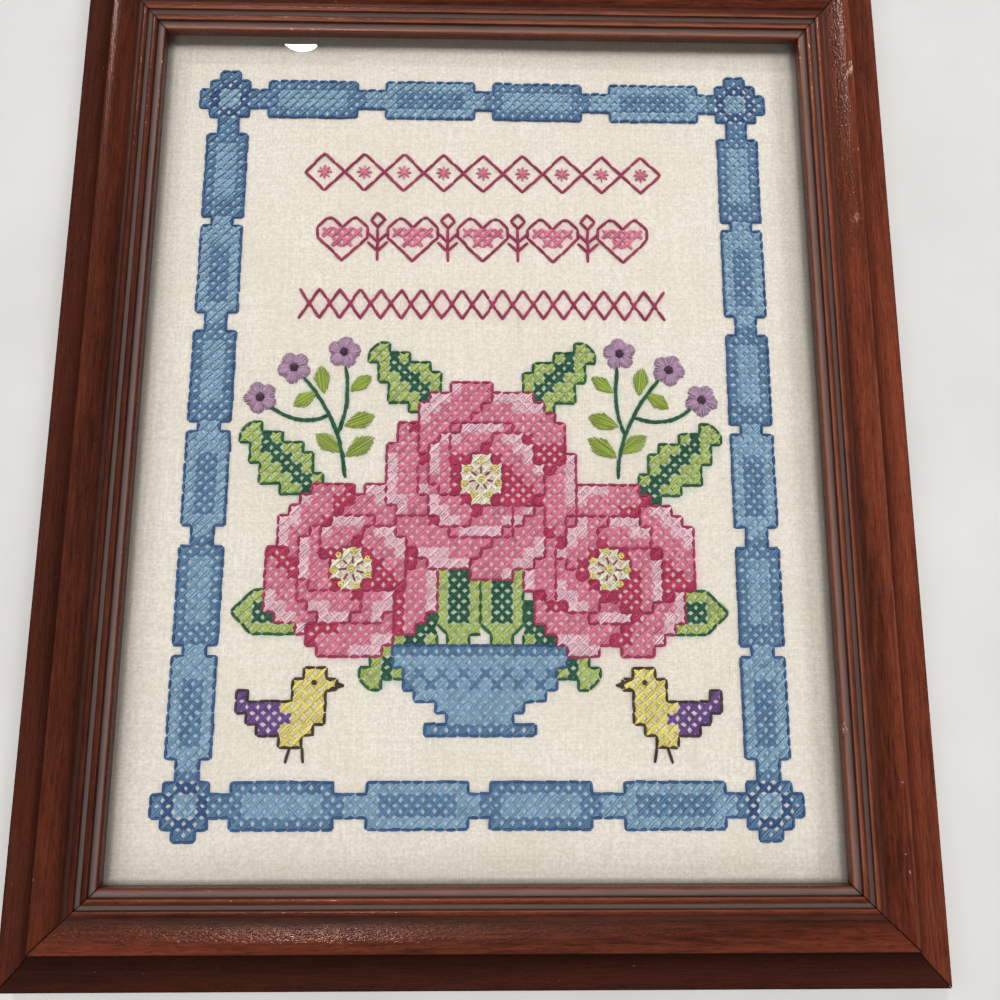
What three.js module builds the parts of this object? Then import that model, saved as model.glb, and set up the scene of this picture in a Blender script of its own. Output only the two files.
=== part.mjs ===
// A framed cross stitch sampler, lying on its back with its face up.
// Four mitred rails of a stepped wooden moulding hold a glass pane, the stitched
// cloth behind it and a plain back board. Millimetres, +Z out of the face, +Y towards
// the top of the picture, origin under the middle of the frame's back.

import * as THREE from 'three';

// Picture size: a pane of 8 by 10 inches, with a lip that covers a quarter inch all round.
const PANE_WIDTH = 203.2;
const PANE_HEIGHT = 254;
const LIP_COVER = 6.35;
const SIGHT_WIDTH = PANE_WIDTH - 2 * LIP_COVER;
const SIGHT_HEIGHT = PANE_HEIGHT - 2 * LIP_COVER;

// Space left between neighbouring pieces.
const FIT_GAP = 0.3;

// Slow unevenness of the stretched cloth: each row is one ripple across the sheet.
const RIPPLES = [
  { height: 0.1, wavesAcross: 1.3, wavesUp: 0.8, shift: 0.4 },
  { height: 0.07, wavesAcross: -2.1, wavesUp: 1.7, shift: 1.9 },
  { height: 0.05, wavesAcross: 3.2, wavesUp: 4.1, shift: 3.1 },
];
const CLOTH_CELLS_ACROSS = 24;
const CLOTH_CELLS_UP = 30;
const RIPPLE_REACH = RIPPLES.reduce((sum, ripple) => sum + ripple.height, 0);

// Depths, counted up from the back of the rails.
const LIP_BACK = 10;
const PANE_THICKNESS = 2;
const CLOTH_TO_PANE = 2;
const CLOTH_THICKNESS = 1.2;
const BOARD_THICKNESS = 3;
const PANE_TOP = LIP_BACK - FIT_GAP;
const CLOTH_TOP = PANE_TOP - PANE_THICKNESS - CLOTH_TO_PANE;
const BOARD_TOP = CLOTH_TOP - CLOTH_THICKNESS - RIPPLE_REACH - FIT_GAP;

// Face of the moulding, from the sight edge to the outer edge. out is the distance from
// the sight edge, rise the height above the back of the lip. bulge is how far the stretch
// that ends in the row swells out of its chord, and is negative for a hollow.
const MOULDING_FACE = [
  { place: 'lip front', out: 0, rise: 2.4, bulge: 0 },
  { place: 'lip arris', out: 0.5, rise: 2.65, bulge: 0.12 },
  { place: 'first flute', out: 1.85, rise: 3.5, bulge: -0.3 },
  { place: 'first bead riser', out: 2.05, rise: 4.2, bulge: 0 },
  { place: 'first bead', out: 3.25, rise: 4.4, bulge: 0.2 },
  { place: 'second flute', out: 4.25, rise: 5, bulge: -0.25 },
  { place: 'second bead riser', out: 4.4, rise: 5.6, bulge: 0 },
  { place: 'second bead', out: 5.5, rise: 5.75, bulge: 0.16 },
  { place: 'groove', out: 6.9, rise: 5.6, bulge: -0.3 },
  { place: 'crown slope', out: 10.2, rise: 7.75, bulge: 0.06 },
  { place: 'crown', out: 12.9, rise: 8.45, bulge: 0.18 },
  { place: 'crown edge', out: 13.35, rise: 8, bulge: 0.1 },
  { place: 'step foot', out: 13.75, rise: 6.8, bulge: 0 },
  { place: 'cove', out: 25.6, rise: -2.2, bulge: -1.7 },
  { place: 'outer edge', out: 26.6, rise: -3.1, bulge: 0.25 },
];
const CURVE_STEPS = 8;
const RABBET_WALL = LIP_COVER + FIT_GAP;

const varnishedWood = new THREE.MeshStandardMaterial({
  name: 'wood',
  color: 0x5e2f20,
  roughness: 0.35,
  metalness: 0,
});
const clearGlass = new THREE.MeshStandardMaterial({
  name: 'glass',
  color: 0xf2f6f4,
  roughness: 0.03,
  metalness: 0,
  transparent: true,
  opacity: 0.12,
});
const creamCloth = new THREE.MeshStandardMaterial({
  name: 'cloth',
  color: 0xe2dccd,
  roughness: 0.95,
  metalness: 0,
});
const greyBoard = new THREE.MeshStandardMaterial({
  name: 'board',
  color: 0x9a8a72,
  roughness: 0.9,
  metalness: 0,
});

// Adds a stretch to the outline as one curve that swells from its chord by bulge,
// to the left of its direction of travel.
function addStretch(outline, to, bulge) {
  const from = outline.currentPoint.clone();
  if (bulge === 0) {
    outline.lineTo(to.x, to.y);
    return;
  }
  const chord = to.clone().sub(from);
  const side = new THREE.Vector2(-chord.y, chord.x).normalize();
  const control = from.clone().lerp(to, 0.5).addScaledVector(side, 2 * bulge);
  outline.quadraticCurveTo(control.x, control.y, to.x, to.y);
}

// Section of the moulding: x runs outward from the sight edge, y up from the back.
function mouldingSection() {
  const outerEdge = MOULDING_FACE.at(-1).out;
  const outline = new THREE.Shape();
  outline.moveTo(0, LIP_BACK);
  for (const { out, rise, bulge } of MOULDING_FACE) {
    addStretch(outline, new THREE.Vector2(out, LIP_BACK + rise), bulge);
  }
  outline.lineTo(outerEdge, 0);
  outline.lineTo(RABBET_WALL, 0);
  outline.lineTo(RABBET_WALL, LIP_BACK);
  outline.closePath();
  return outline;
}

// A rail along X whose sight edge lies sightOffset out from the middle of the picture.
// Its ends are cut at 45 degrees, so the rail grows longer towards its outer edge.
function mitredRail(sightLength, sightOffset) {
  const geometry = new THREE.ExtrudeGeometry(mouldingSection(), {
    depth: 1,
    steps: 1,
    curveSegments: CURVE_STEPS,
    bevelEnabled: false,
  });
  const mitreClearance = FIT_GAP / Math.SQRT2;
  const points = geometry.getAttribute('position');
  for (let i = 0; i < points.count; i += 1) {
    const out = points.getX(i);
    const up = points.getY(i);
    const end = points.getZ(i) > 0.5 ? 1 : -1;
    const along = end * (sightLength / 2 + out - mitreClearance);
    points.setXYZ(i, along, sightOffset + out, up);
  }
  geometry.computeVertexNormals();
  return geometry;
}

function frameRails() {
  const acrossRail = mitredRail(SIGHT_WIDTH, SIGHT_HEIGHT / 2);
  const uprightRail = mitredRail(SIGHT_HEIGHT, SIGHT_WIDTH / 2);
  const places = [
    { name: 'rail_top', geometry: acrossRail, turn: 0 },
    { name: 'rail_left', geometry: uprightRail, turn: Math.PI / 2 },
    { name: 'rail_bottom', geometry: acrossRail, turn: Math.PI },
    { name: 'rail_right', geometry: uprightRail, turn: -Math.PI / 2 },
  ];
  return places.map(({ name, geometry, turn }) => {
    const rail = new THREE.Mesh(geometry, varnishedWood);
    rail.name = name;
    rail.rotation.z = turn;
    return rail;
  });
}

// A flat sheet whose top lies at height top, as wide as the pane.
function sheetInRabbet(name, thickness, top, material, cellsAcross = 1, cellsUp = 1) {
  const geometry = new THREE.BoxGeometry(PANE_WIDTH, PANE_HEIGHT, thickness, cellsAcross, cellsUp, 1);
  const sheet = new THREE.Mesh(geometry, material);
  sheet.name = name;
  sheet.position.z = top - thickness / 2;
  return sheet;
}

function rippleHeight(x, y) {
  let height = 0;
  for (const ripple of RIPPLES) {
    const across = (ripple.wavesAcross * x) / PANE_WIDTH;
    const up = (ripple.wavesUp * y) / PANE_HEIGHT;
    height += ripple.height * Math.sin(2 * Math.PI * (across + up) + ripple.shift);
  }
  return height;
}

function stitchedCloth() {
  const cloth = sheetInRabbet(
    'cloth', CLOTH_THICKNESS, CLOTH_TOP, creamCloth, CLOTH_CELLS_ACROSS, CLOTH_CELLS_UP,
  );
  const points = cloth.geometry.getAttribute('position');
  for (let i = 0; i < points.count; i += 1) {
    points.setZ(i, points.getZ(i) + rippleHeight(points.getX(i), points.getY(i)));
  }
  cloth.geometry.computeVertexNormals();
  return cloth;
}

const sampler = new THREE.Group();
sampler.name = 'framed_cross_stitch_sampler';
sampler.add(...frameRails());
sampler.add(sheetInRabbet('glass', PANE_THICKNESS, PANE_TOP, clearGlass));
sampler.add(stitchedCloth());
sampler.add(sheetInRabbet('back_board', BOARD_THICKNESS, BOARD_TOP, greyBoard));

export default sampler;
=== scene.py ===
"""Looks of a framed cross stitch sampler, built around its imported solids.

Metres, +Z out of the picture's face, +Y towards its top. Sizes are written in millimetres and
become metres where a mesh is made. Places in the embroidery are counted in stitches across and
down from the top left corner of the cloth that shows inside the frame.
"""

import math

import bpy
import numpy as np
from mathutils import Matrix, Vector


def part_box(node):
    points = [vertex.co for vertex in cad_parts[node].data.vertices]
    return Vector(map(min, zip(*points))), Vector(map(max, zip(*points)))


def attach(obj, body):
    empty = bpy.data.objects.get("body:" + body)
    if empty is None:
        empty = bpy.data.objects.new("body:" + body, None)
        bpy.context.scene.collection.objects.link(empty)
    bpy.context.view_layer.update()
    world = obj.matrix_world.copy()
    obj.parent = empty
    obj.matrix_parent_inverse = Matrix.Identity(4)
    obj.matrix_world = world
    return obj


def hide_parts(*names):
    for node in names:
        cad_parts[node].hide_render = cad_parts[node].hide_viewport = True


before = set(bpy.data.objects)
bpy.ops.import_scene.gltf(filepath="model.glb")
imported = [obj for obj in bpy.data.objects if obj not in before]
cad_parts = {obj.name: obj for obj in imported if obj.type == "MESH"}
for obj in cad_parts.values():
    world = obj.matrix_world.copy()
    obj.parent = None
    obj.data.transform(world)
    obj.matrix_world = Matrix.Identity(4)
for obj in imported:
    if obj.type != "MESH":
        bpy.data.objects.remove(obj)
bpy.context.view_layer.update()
scene = bpy.context.scene

MM = 0.001
BODY = "root"
rng = np.random.default_rng(11)

# Sizes shared with the solids
LIP_COVER = 6.35
FIT_GAP = 0.3
CLOTH_TO_PANE = 2.0
pane_low, pane_high = (np.array(corner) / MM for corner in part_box("glass"))
SIGHT_X = pane_high[0] - LIP_COVER
SIGHT_Y = pane_high[1] - LIP_COVER
LIP_BACK = pane_high[2] + FIT_GAP
CLOTH_FACE = pane_low[2] - CLOTH_TO_PANE

# Stitches in the picture that shows, each about 3 mm square
COLUMNS = 64
ROWS = 81
PITCH = 2 * SIGHT_X / COLUMNS

# Edges that turn by more than this stay sharp
SHARP_ANGLE = math.radians(50)


# Small helpers

def table(columns, *rows):
    """Rows of values as dictionaries, under the names of their columns."""
    return [dict(zip(columns.split(), row)) for row in rows]


def ray_at(angle):
    return np.array([math.cos(angle), math.sin(angle)])


def left_of(ahead):
    return np.array([-ahead[1], ahead[0]])


# Meshes and attributes

def add_object(name, data):
    thing = bpy.data.objects.new(name, data)
    scene.collection.objects.link(thing)
    return thing


def add_piece(name, points, faces, material):
    """A smooth piece made from points in millimetres, riding on the one body."""
    mesh = bpy.data.meshes.new(name)
    mesh.from_pydata((np.asarray(points) * MM).tolist(), [], faces)
    mesh.update()
    mesh.shade_smooth()
    mesh.materials.append(material)
    piece = add_object(name, mesh)
    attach(piece, BODY)
    return piece


def quads(*corners):
    """Four cornered faces, from an array for each of their corners."""
    return np.stack(corners, axis=-1).reshape(-1, 4)


def add_values(piece, name, values):
    """Stores a number or a vector for each point of a piece."""
    values = np.asarray(values, np.float32)
    kind, key = ("FLOAT", "value") if values.ndim == 1 else ("FLOAT_VECTOR", "vector")
    attribute = piece.data.attributes.new(name, kind, "POINT")
    attribute.data.foreach_set(key, values.ravel())


# Shading

def srgb(red, green, blue):
    """Linear colour of an sRGB colour whose parts run from 0 to 255."""
    parts = np.array([red, green, blue]) / 255
    linear = np.where(parts <= 0.04045, parts / 12.92, ((parts + 0.055) / 1.055) ** 2.4)
    return (*linear.tolist(), 1.0)


class Shading:
    """A material or world in the making, with short calls for its nodes."""

    def __init__(self, name, world=False):
        self.owner = (bpy.data.worlds if world else bpy.data.materials).new(name)
        self.owner.use_nodes = True
        self.tree = self.owner.node_tree
        self.tree.nodes.clear()
        self.output = "OutputWorld" if world else "OutputMaterial"

    def add(self, kind, inputs=None, **settings):
        node = self.tree.nodes.new("ShaderNode" + kind)
        for key, value in settings.items():
            setattr(node, key, value)
        for key, value in (inputs or {}).items():
            if isinstance(value, bpy.types.NodeSocket):
                self.tree.links.new(value, node.inputs[key])
            else:
                node.inputs[key].default_value = value
        return node

    def math(self, operation, *values):
        return self.add("Math", dict(enumerate(values)), operation=operation).outputs[0]

    def times(self, first, second):
        return self.math("MULTIPLY", first, second)

    def plus(self, first, second):
        return self.math("ADD", first, second)

    def mix(self, factor, first, second):
        return self.add("Mix", {0: factor, 6: first, 7: second}, data_type="RGBA").outputs[2]

    def coats(self, colour, *coats):
        """A colour with tints laid over it one after another, each by its share."""
        for share, tint in coats:
            colour = self.mix(share, colour, tint)
        return colour

    def stretch(self, vector, factors):
        return self.add("VectorMath", {0: vector, 1: factors}, operation="MULTIPLY").outputs[0]

    def noise(self, vector, scale=1.0, detail=2.0, roughness=0.5):
        inputs = {"Vector": vector, "Scale": scale, "Detail": detail, "Roughness": roughness}
        return self.add("TexNoise", inputs).outputs["Fac"]

    def ramp(self, value, low, high, to_low=0.0, to_high=1.0):
        inputs = {"Value": value, 1: low, 2: high, 3: to_low, 4: to_high}
        return self.add("MapRange", inputs, clamp=True).outputs[0]

    def attribute(self, name, output):
        return self.add("Attribute", attribute_name=name).outputs[output]

    def place(self):
        """Place on the object, in millimetres."""
        return self.stretch(self.add("TexCoord").outputs["Object"], (1 / MM,) * 3)

    def bump(self, height, distance, strength=1.0):
        inputs = {"Height": height, "Distance": distance * MM, "Strength": strength}
        return self.add("Bump", inputs).outputs[0]

    def surface(self, socket):
        self.add(self.output, {"Surface": socket})
        return self.owner

    def principled(self, **inputs):
        named = {key.replace("_", " "): value for key, value in inputs.items()}
        return self.surface(self.add("BsdfPrincipled", named).outputs[0])


# What the wood's surface is like from place to place, each from 0 to 1: worn edges that also
# carry painted highlight, a dusty film that also paints sheen, painted shade with grime at the
# mitres, painted shade by rail, knocks and bare wood
WOOD_STATES = ("wear", "dust", "gloom", "stain", "chip", "bare")


def wood_material():
    """Reddish brown stained wood under a satin varnish: worn edges with painted highlights, dusty flutes
    with painted sheen, painted shade in hollows and on darker rails.
    """
    s = Shading("varnished_wood")
    grain = s.attribute("grain", "Vector")
    wear, dust, gloom, stain, chip, bare = (s.attribute(name, "Fac") for name in WOOD_STATES)
    fibres = s.noise(s.stretch(grain, (0.1, 1.5, 1.5)), detail=2.0, roughness=0.6)
    bands = s.noise(s.stretch(grain, (0.01, 0.16, 0.16)), detail=1.0)
    pores = s.ramp(s.noise(s.stretch(grain, (0.45, 4.0, 4.0)), detail=0.0), 0.58, 0.72)
    speckle = s.noise(s.stretch(grain, (0.9, 2.4, 2.4)), detail=1.0, roughness=0.6)
    specks = s.ramp(s.noise(grain, scale=0.9, detail=0.0), 0.88, 0.9)
    tone = s.plus(s.times(fibres, 0.6), s.times(bands, 0.5))
    # Worn edges, partly real rubbing and partly painted highlight
    rubbed = s.times(s.ramp(wear, 0.1, 0.8), s.ramp(fibres, 0.3, 0.6, 0.6, 0.95))
    # Dusty film in the flutes, greyed partly as painted sheen
    dust_and_sheen_film = s.times(dust, s.ramp(fibres, 0.3, 0.6, 0.8, 0.95))
    colour = s.coats(
        s.mix(s.ramp(tone, 0.36, 0.74), srgb(68, 31, 21), srgb(134, 64, 42)),
        (s.times(pores, 0.4), srgb(38, 15, 9)),
        # Painted shade: rails and coves that face away from the light made darker
        (stain, srgb(30, 12, 9)),
        # Lighter worn edges: partly real rubbing, partly painted highlight
        (rubbed, srgb(160, 106, 86)),
        # Dusty film in the flutes, partly painted sheen
        (dust_and_sheen_film, srgb(118, 104, 99)),
        (s.times(specks, 0.5), srgb(170, 154, 142)),
        # Painted shade in hollows, at steps and under the lip, with grime beside the mitres
        (s.times(gloom, 0.85), srgb(24, 9, 6)),
        (s.ramp(chip, 0.35, 0.6), s.mix(s.ramp(speckle, 0.42, 0.6), srgb(98, 58, 44), srgb(184, 146, 126))),
        (bare, s.mix(fibres, srgb(74, 44, 28), srgb(128, 84, 54))),
    )
    rough = s.plus(s.ramp(speckle, 0.3, 0.7, 0.17, 0.28), s.times(dust, 0.25))
    rough = s.plus(rough, s.times(gloom, 0.3))
    rough = s.plus(rough, s.times(s.math("MAXIMUM", bare, chip), 0.35))
    return s.principled(
        Base_Color=colour,
        Roughness=rough,
        Specular_IOR_Level=0.36,
        Specular_Tint=(1.0, 0.66, 0.55, 1.0),
        Normal=s.bump(speckle, 0.12, 0.8),
    )


# Share of light that the pane mirrors head on, and how fast it grows with the slant
HEAD_ON_MIRROR = 0.04
MIRROR_POWER = 5.0


def glass_material():
    """A thin clear pane that mirrors by its angle and lets the rest through."""
    s = Shading("picture_glass")
    clear = s.add("BsdfTransparent", {"Color": (0.975, 0.975, 0.965, 1.0)}).outputs[0]
    gloss = s.add("BsdfGlossy", {"Color": (1.0, 1.0, 1.0, 1.0), "Roughness": 0.0}).outputs[0]
    slant = s.math("POWER", s.add("LayerWeight", {"Blend": 0.5}).outputs["Facing"], MIRROR_POWER)
    share = s.plus(s.times(slant, 1 - HEAD_ON_MIRROR), HEAD_ON_MIRROR)
    return s.surface(s.add("MixShader", {0: share, 1: clear, 2: gloss}).outputs[0])


def board_material():
    """Grey card of pressed fibres."""
    s = Shading("grey_board")
    place = s.place()
    fibres = s.noise(place, scale=1.6, detail=5.0, roughness=0.7)
    clouds = s.noise(place, scale=0.03, detail=3.0)
    flecks = s.ramp(s.noise(place, scale=3.1, detail=1.0), 0.68, 0.72)
    colour = s.coats(
        s.mix(s.ramp(fibres, 0.3, 0.7), srgb(126, 112, 92), srgb(164, 150, 128)),
        (s.ramp(clouds, 0.4, 0.7, 0.0, 0.35), srgb(118, 102, 80)),
        (s.times(flecks, 0.5), srgb(78, 66, 52)),
    )
    return s.principled(Base_Color=colour, Roughness=0.92, Normal=s.bump(fibres, 0.08, 0.4))


# Distance between the threads of the weave, in millimetres
WEAVE_PITCH = 0.42

# Dye that bled into the cloth: the threads that it comes from, its tint, its strength and how far it
# spread
DYES = table(
    "name threads tint strength spread",
    ("rose_dye", ("crimson", "rose", "pink", "raspberry"), srgb(226, 166, 182), 0.6, 2),
    ("blue_dye", ("blue", "soft_blue"), srgb(156, 188, 218), 0.8, 1),
    ("green_dye", ("dark_green", "lime", "pale_lime"), srgb(170, 198, 172), 0.55, 1),
)


def cloth_material():
    """Cream cotton in a fine plain weave, with slubs, specks, dye that bled from the threads and painted
    shade along its edges under the lip.
    """
    s = Shading("cream_cotton")
    place = s.place()
    part = s.add("SeparateXYZ", {0: place})
    turn = math.pi / WEAVE_PITCH
    across, along = (s.math("SINE", s.times(part.outputs[axis], turn)) for axis in "XY")
    over = s.plus(s.times(s.times(across, along), 0.5), 0.5)
    warp = s.times(s.math("ABSOLUTE", across), over)
    weft = s.times(s.math("ABSOLUTE", along), s.math("SUBTRACT", 1.0, over))
    weave = s.math("MAXIMUM", warp, weft)
    slub_x = s.noise(s.stretch(place, (0.05, 2.6, 1.0)), detail=1.0)
    slub_y = s.noise(s.stretch(place, (2.6, 0.05, 1.0)), detail=1.0)
    slubs = s.plus(s.times(slub_x, 0.5), s.times(slub_y, 0.5))
    clouds = s.noise(place, scale=0.035, detail=3.0)
    nap = s.noise(place, scale=1.3, detail=1.0, roughness=0.7)
    specks = s.ramp(s.noise(place, scale=1.1, detail=0.0), 0.87, 0.9)
    # Painted shade along the sight edge: a soft darkening inside it and a darker band where the cloth lies
    # under the lip
    inset_x = s.math("SUBTRACT", SIGHT_X, s.math("ABSOLUTE", part.outputs["X"]))
    inset_y = s.math("SUBTRACT", SIGHT_Y, s.math("ABSOLUTE", part.outputs["Y"]))
    inset = s.math("MINIMUM", inset_x, inset_y)
    edge_shade = s.ramp(inset, 0.0, 5.0, 0.16, 0.0)
    under_lip_shade = s.ramp(inset, -0.35, 0.35, 0.3, 0.0)
    colour = s.coats(
        s.mix(s.ramp(slubs, 0.35, 0.65), srgb(230, 223, 213), srgb(243, 237, 228)),
        (s.ramp(nap, 0.35, 0.65, 0.4, 0.0), srgb(190, 178, 158)),
        (s.ramp(weave, 0.0, 0.5, 0.22, 0.0), srgb(176, 166, 148)),
        (s.ramp(clouds, 0.45, 0.75, 0.0, 0.3), srgb(216, 203, 184)),
        (s.times(specks, 0.5), srgb(120, 108, 92)),
        *((s.attribute(dye["name"], "Fac"), dye["tint"]) for dye in DYES),
        # Painted shade near the sight edge and under the lip
        (s.math("MAXIMUM", edge_shade, under_lip_shade), srgb(112, 98, 74)),
    )
    return s.principled(
        Base_Color=colour,
        Roughness=0.9,
        Specular_IOR_Level=0.2,
        Sheen_Weight=0.15,
        Normal=s.bump(s.plus(weave, slubs), 0.12, 0.6),
    )


# Floss: shade of its dark and light plies, the dark one also laid as painted shade along the
# twist, and the depth and hue of the painted shade in the grooves between strands
DARK_PLY = 0.74
LIGHT_PLY = 1.3
LIGHT_PLY_LIFT = 0.02
GROOVE_SHADE = 0.34
GROOVE_HUE = 0.6


def floss_material(name):
    """Cotton floss: twisted plies with a silky sheen, painted shade along the twist and between strands, no
    two stitches quite alike.
    """
    s = Shading("floss_" + name)
    strand = s.add("SeparateXYZ", {0: s.attribute("strand", "Vector")}).outputs
    ply = s.plus(s.times(strand["X"], 5.0), s.times(strand["Y"], 12.6))
    twist = s.plus(s.times(s.math("SINE", ply), 0.5), 0.5)
    fuzz = s.noise(s.place(), scale=2.2, detail=3.0)
    shade = s.ramp(s.plus(s.times(strand["Z"], 0.6), fuzz), 0.35, 1.15)
    base = np.array(srgb(*THREADS[name])[:3])
    dark = (*(base * DARK_PLY).tolist(), 1.0)
    light = (*np.minimum(base * LIGHT_PLY + LIGHT_PLY_LIFT, 1.0).tolist(), 1.0)
    deep = (*(base * GROOVE_SHADE * (base / base.max()) ** GROOVE_HUE).tolist(), 1.0)
    # Painted shade along the twist's grooves, over the plies' random tone
    tone = s.mix(s.ramp(twist, 0.0, 0.6, 0.4, 0.0), s.mix(shade, dark, light), dark)
    # Painted shade down each strand's sides, where strands meet
    from_crest = s.math("ABSOLUTE", s.math("SUBTRACT", strand["Y"], 0.5))
    tone = s.mix(s.ramp(from_crest, 0.1, 0.25, 0.0, 0.9), tone, deep)
    return s.principled(
        Base_Color=tone,
        Roughness=0.52,
        Specular_IOR_Level=0.35,
        Sheen_Weight=0.12,
        Normal=s.bump(twist, 0.05, 0.7),
    )


def floor_material():
    """A plain pale floor, faintly clouded."""
    s = Shading("pale_floor")
    grit = s.noise(s.place(), scale=0.02, detail=4.0)
    colour = s.mix(s.ramp(grit, 0.3, 0.7), srgb(206, 204, 200), srgb(214, 212, 209))
    return s.principled(Base_Color=colour, Roughness=0.7)


# Wooden frame

# Face of the moulding from the sight edge outward, one stretch a row. out is the distance from the
# sight edge and rise the height above the back of the lip, both where the stretch ends. bulge is its
# swell and steps its smoothness. The next three are how worn its end is, with painted highlight on
# worn edges, the dusty film along it, partly painted sheen, and the painted shade that darkens its end.
MOULDING_FACE = table(
    "place out rise bulge steps wear dust gloom",
    ("lip front", 0.0, 2.4, 0.0, 6, 0.3, 0.0, 0.0),
    ("lip arris", 0.5, 2.65, 0.12, 4, 0.75, 0.0, 0.0),
    ("first flute", 1.85, 3.5, -0.3, 8, 0.0, 0.8, 0.75),
    ("first riser", 2.05, 4.2, 0.0, 4, 0.85, 0.0, 0.0),
    ("first bead", 3.25, 4.4, 0.2, 8, 0.1, 0.0, 0.65),
    ("second flute", 4.25, 5.0, -0.25, 8, 0.0, 1.0, 0.5),
    ("second riser", 4.4, 5.6, 0.0, 4, 0.75, 0.0, 0.0),
    ("second bead", 5.5, 5.75, 0.16, 8, 0.05, 0.0, 0.6),
    ("groove", 6.9, 5.6, -0.3, 8, 0.0, 0.15, 0.75),
    ("crown slope", 10.2, 7.75, 0.06, 12, 0.05, 0.0, 0.0),
    ("crown", 12.9, 8.45, 0.18, 12, 0.2, 0.0, 0.0),
    ("crown edge", 13.35, 8.0, 0.1, 4, 0.4, 0.0, 0.0),
    ("step foot", 13.75, 6.8, 0.0, 4, 0.0, 0.0, 1.0),
    ("cove", 25.6, -2.2, -1.7, 24, 0.05, 0.0, 0.1),
    ("outer edge", 26.6, -3.1, 0.25, 4, 0.3, 0.0, 0.0),
)
OUTER_EDGE = MOULDING_FACE[-1]["out"]
RABBET_WALL = LIP_COVER + FIT_GAP
SOFTENING_PASSES = 2

# Section before its face and behind it: out, up, worn edges with painted highlight, dusty film
# with painted sheen, painted shade and bareness
LIP_FOOT = (0.0, LIP_BACK, 0.0, 0.0, 0.6, 0.0)
RAIL_BACK = [
    (OUTER_EDGE, 3.0, 0.1, 0.0, 0.3, 0.0),
    (OUTER_EDGE, 0.0, 0.1, 0.0, 0.3, 0.6),
    (OUTER_EDGE - 0.3, 0.0, 0.0, 0.0, 0.0, 0.9),
    (RABBET_WALL, 0.0, 0.0, 0.0, 0.0, 1.0),
    (RABBET_WALL, LIP_BACK, 0.0, 0.0, 0.0, 1.0),
    (0.4, LIP_BACK, 0.0, 0.0, 0.6, 0.6),
]

# Cross sections along a rail, and more of them close to its ends
RAIL_STATIONS = 161
MITRE_STATIONS = 1 - np.array([0.0015, 0.004])

# Mitre joints: space between the rails, and how far and how dark the grime beside it is
MITRE_GAP = 0.2
MITRE_GRIME = 0.4
MITRE_GLOOM = 0.6

# Slow waves in the wood: length along and width across of each, and their height together
WOOD_WAVES = ((71.0, 9.0), (43.0, 5.0), (23.0, 6.5))
WAVE_HEIGHT = 0.02

# Each rail takes its grain from another place in a plank of this length
PLANK_LENGTH = 900

# The rails, each turned into place from the top, with the length and offset of its sight edge. The
# next is how much of its worn edges and painted highlights shows, and the last two how much painted
# shade darkens its crown and its cove.
RAILS = table(
    "node length offset turn rubbed stain cove_stain",
    ("rail_top", 2 * SIGHT_X, SIGHT_Y, 0, 1.0, 0.0, 0.1),
    ("rail_left", 2 * SIGHT_Y, SIGHT_X, 90, 0.25, 0.55, 0.6),
    ("rail_bottom", 2 * SIGHT_X, SIGHT_Y, 180, 0.5, 0.35, 0.8),
    ("rail_right", 2 * SIGHT_Y, SIGHT_X, -90, 0.9, 0.12, 0.0),
)

# Distance out at which the crown ends and the cove begins
CROWN_EDGE = 13.4

# Knocks in the wood: rail, place along it from its middle, distance out, half length, half width,
# how far it leans outward along its length, depth, and how far the stained finish is torn off
KNOCKS = table(
    "node along out long wide lean depth torn",
    ("rail_right", -106.0, 12.4, 2.5, 1.2, -0.3, 0.3, 1.0),
    ("rail_right", -59.6, 10.9, 1.8, 0.8, -0.15, 0.1, 0.5),
    ("rail_right", 81.7, 0.5, 1.2, 0.5, 0.0, 0.2, 1.0),
)
KNOCK_STATIONS = np.arange(-4.0, 4.01, 0.2)

# Raggedness of a knock's rim: lobes round it, their reach and their turn
KNOCK_LOBES = ((3, 0.28, 0.6), (7, 0.16, 2.0))


def knock_share(knock, along, out):
    """A ragged three cornered dent, from 1 in its middle to 0 outside its rim."""
    ahead = along - knock["along"]
    x = ahead / knock["long"]
    y = (out - knock["out"] - knock["lean"] * ahead) / knock["wide"]
    angle = np.arctan2(y, x)
    ragged = 1 + sum(reach * np.sin(count * angle + turn) for count, reach, turn in KNOCK_LOBES)
    return np.exp(-((x * x + y * y) * ragged ** 2) ** 3)


def eased(start, end, t, late):
    """From one value to the next, most of it late or early on the way."""
    share = t ** 3 if late else 1 - (1 - t) ** 3
    return start + (end - start) * share


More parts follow.
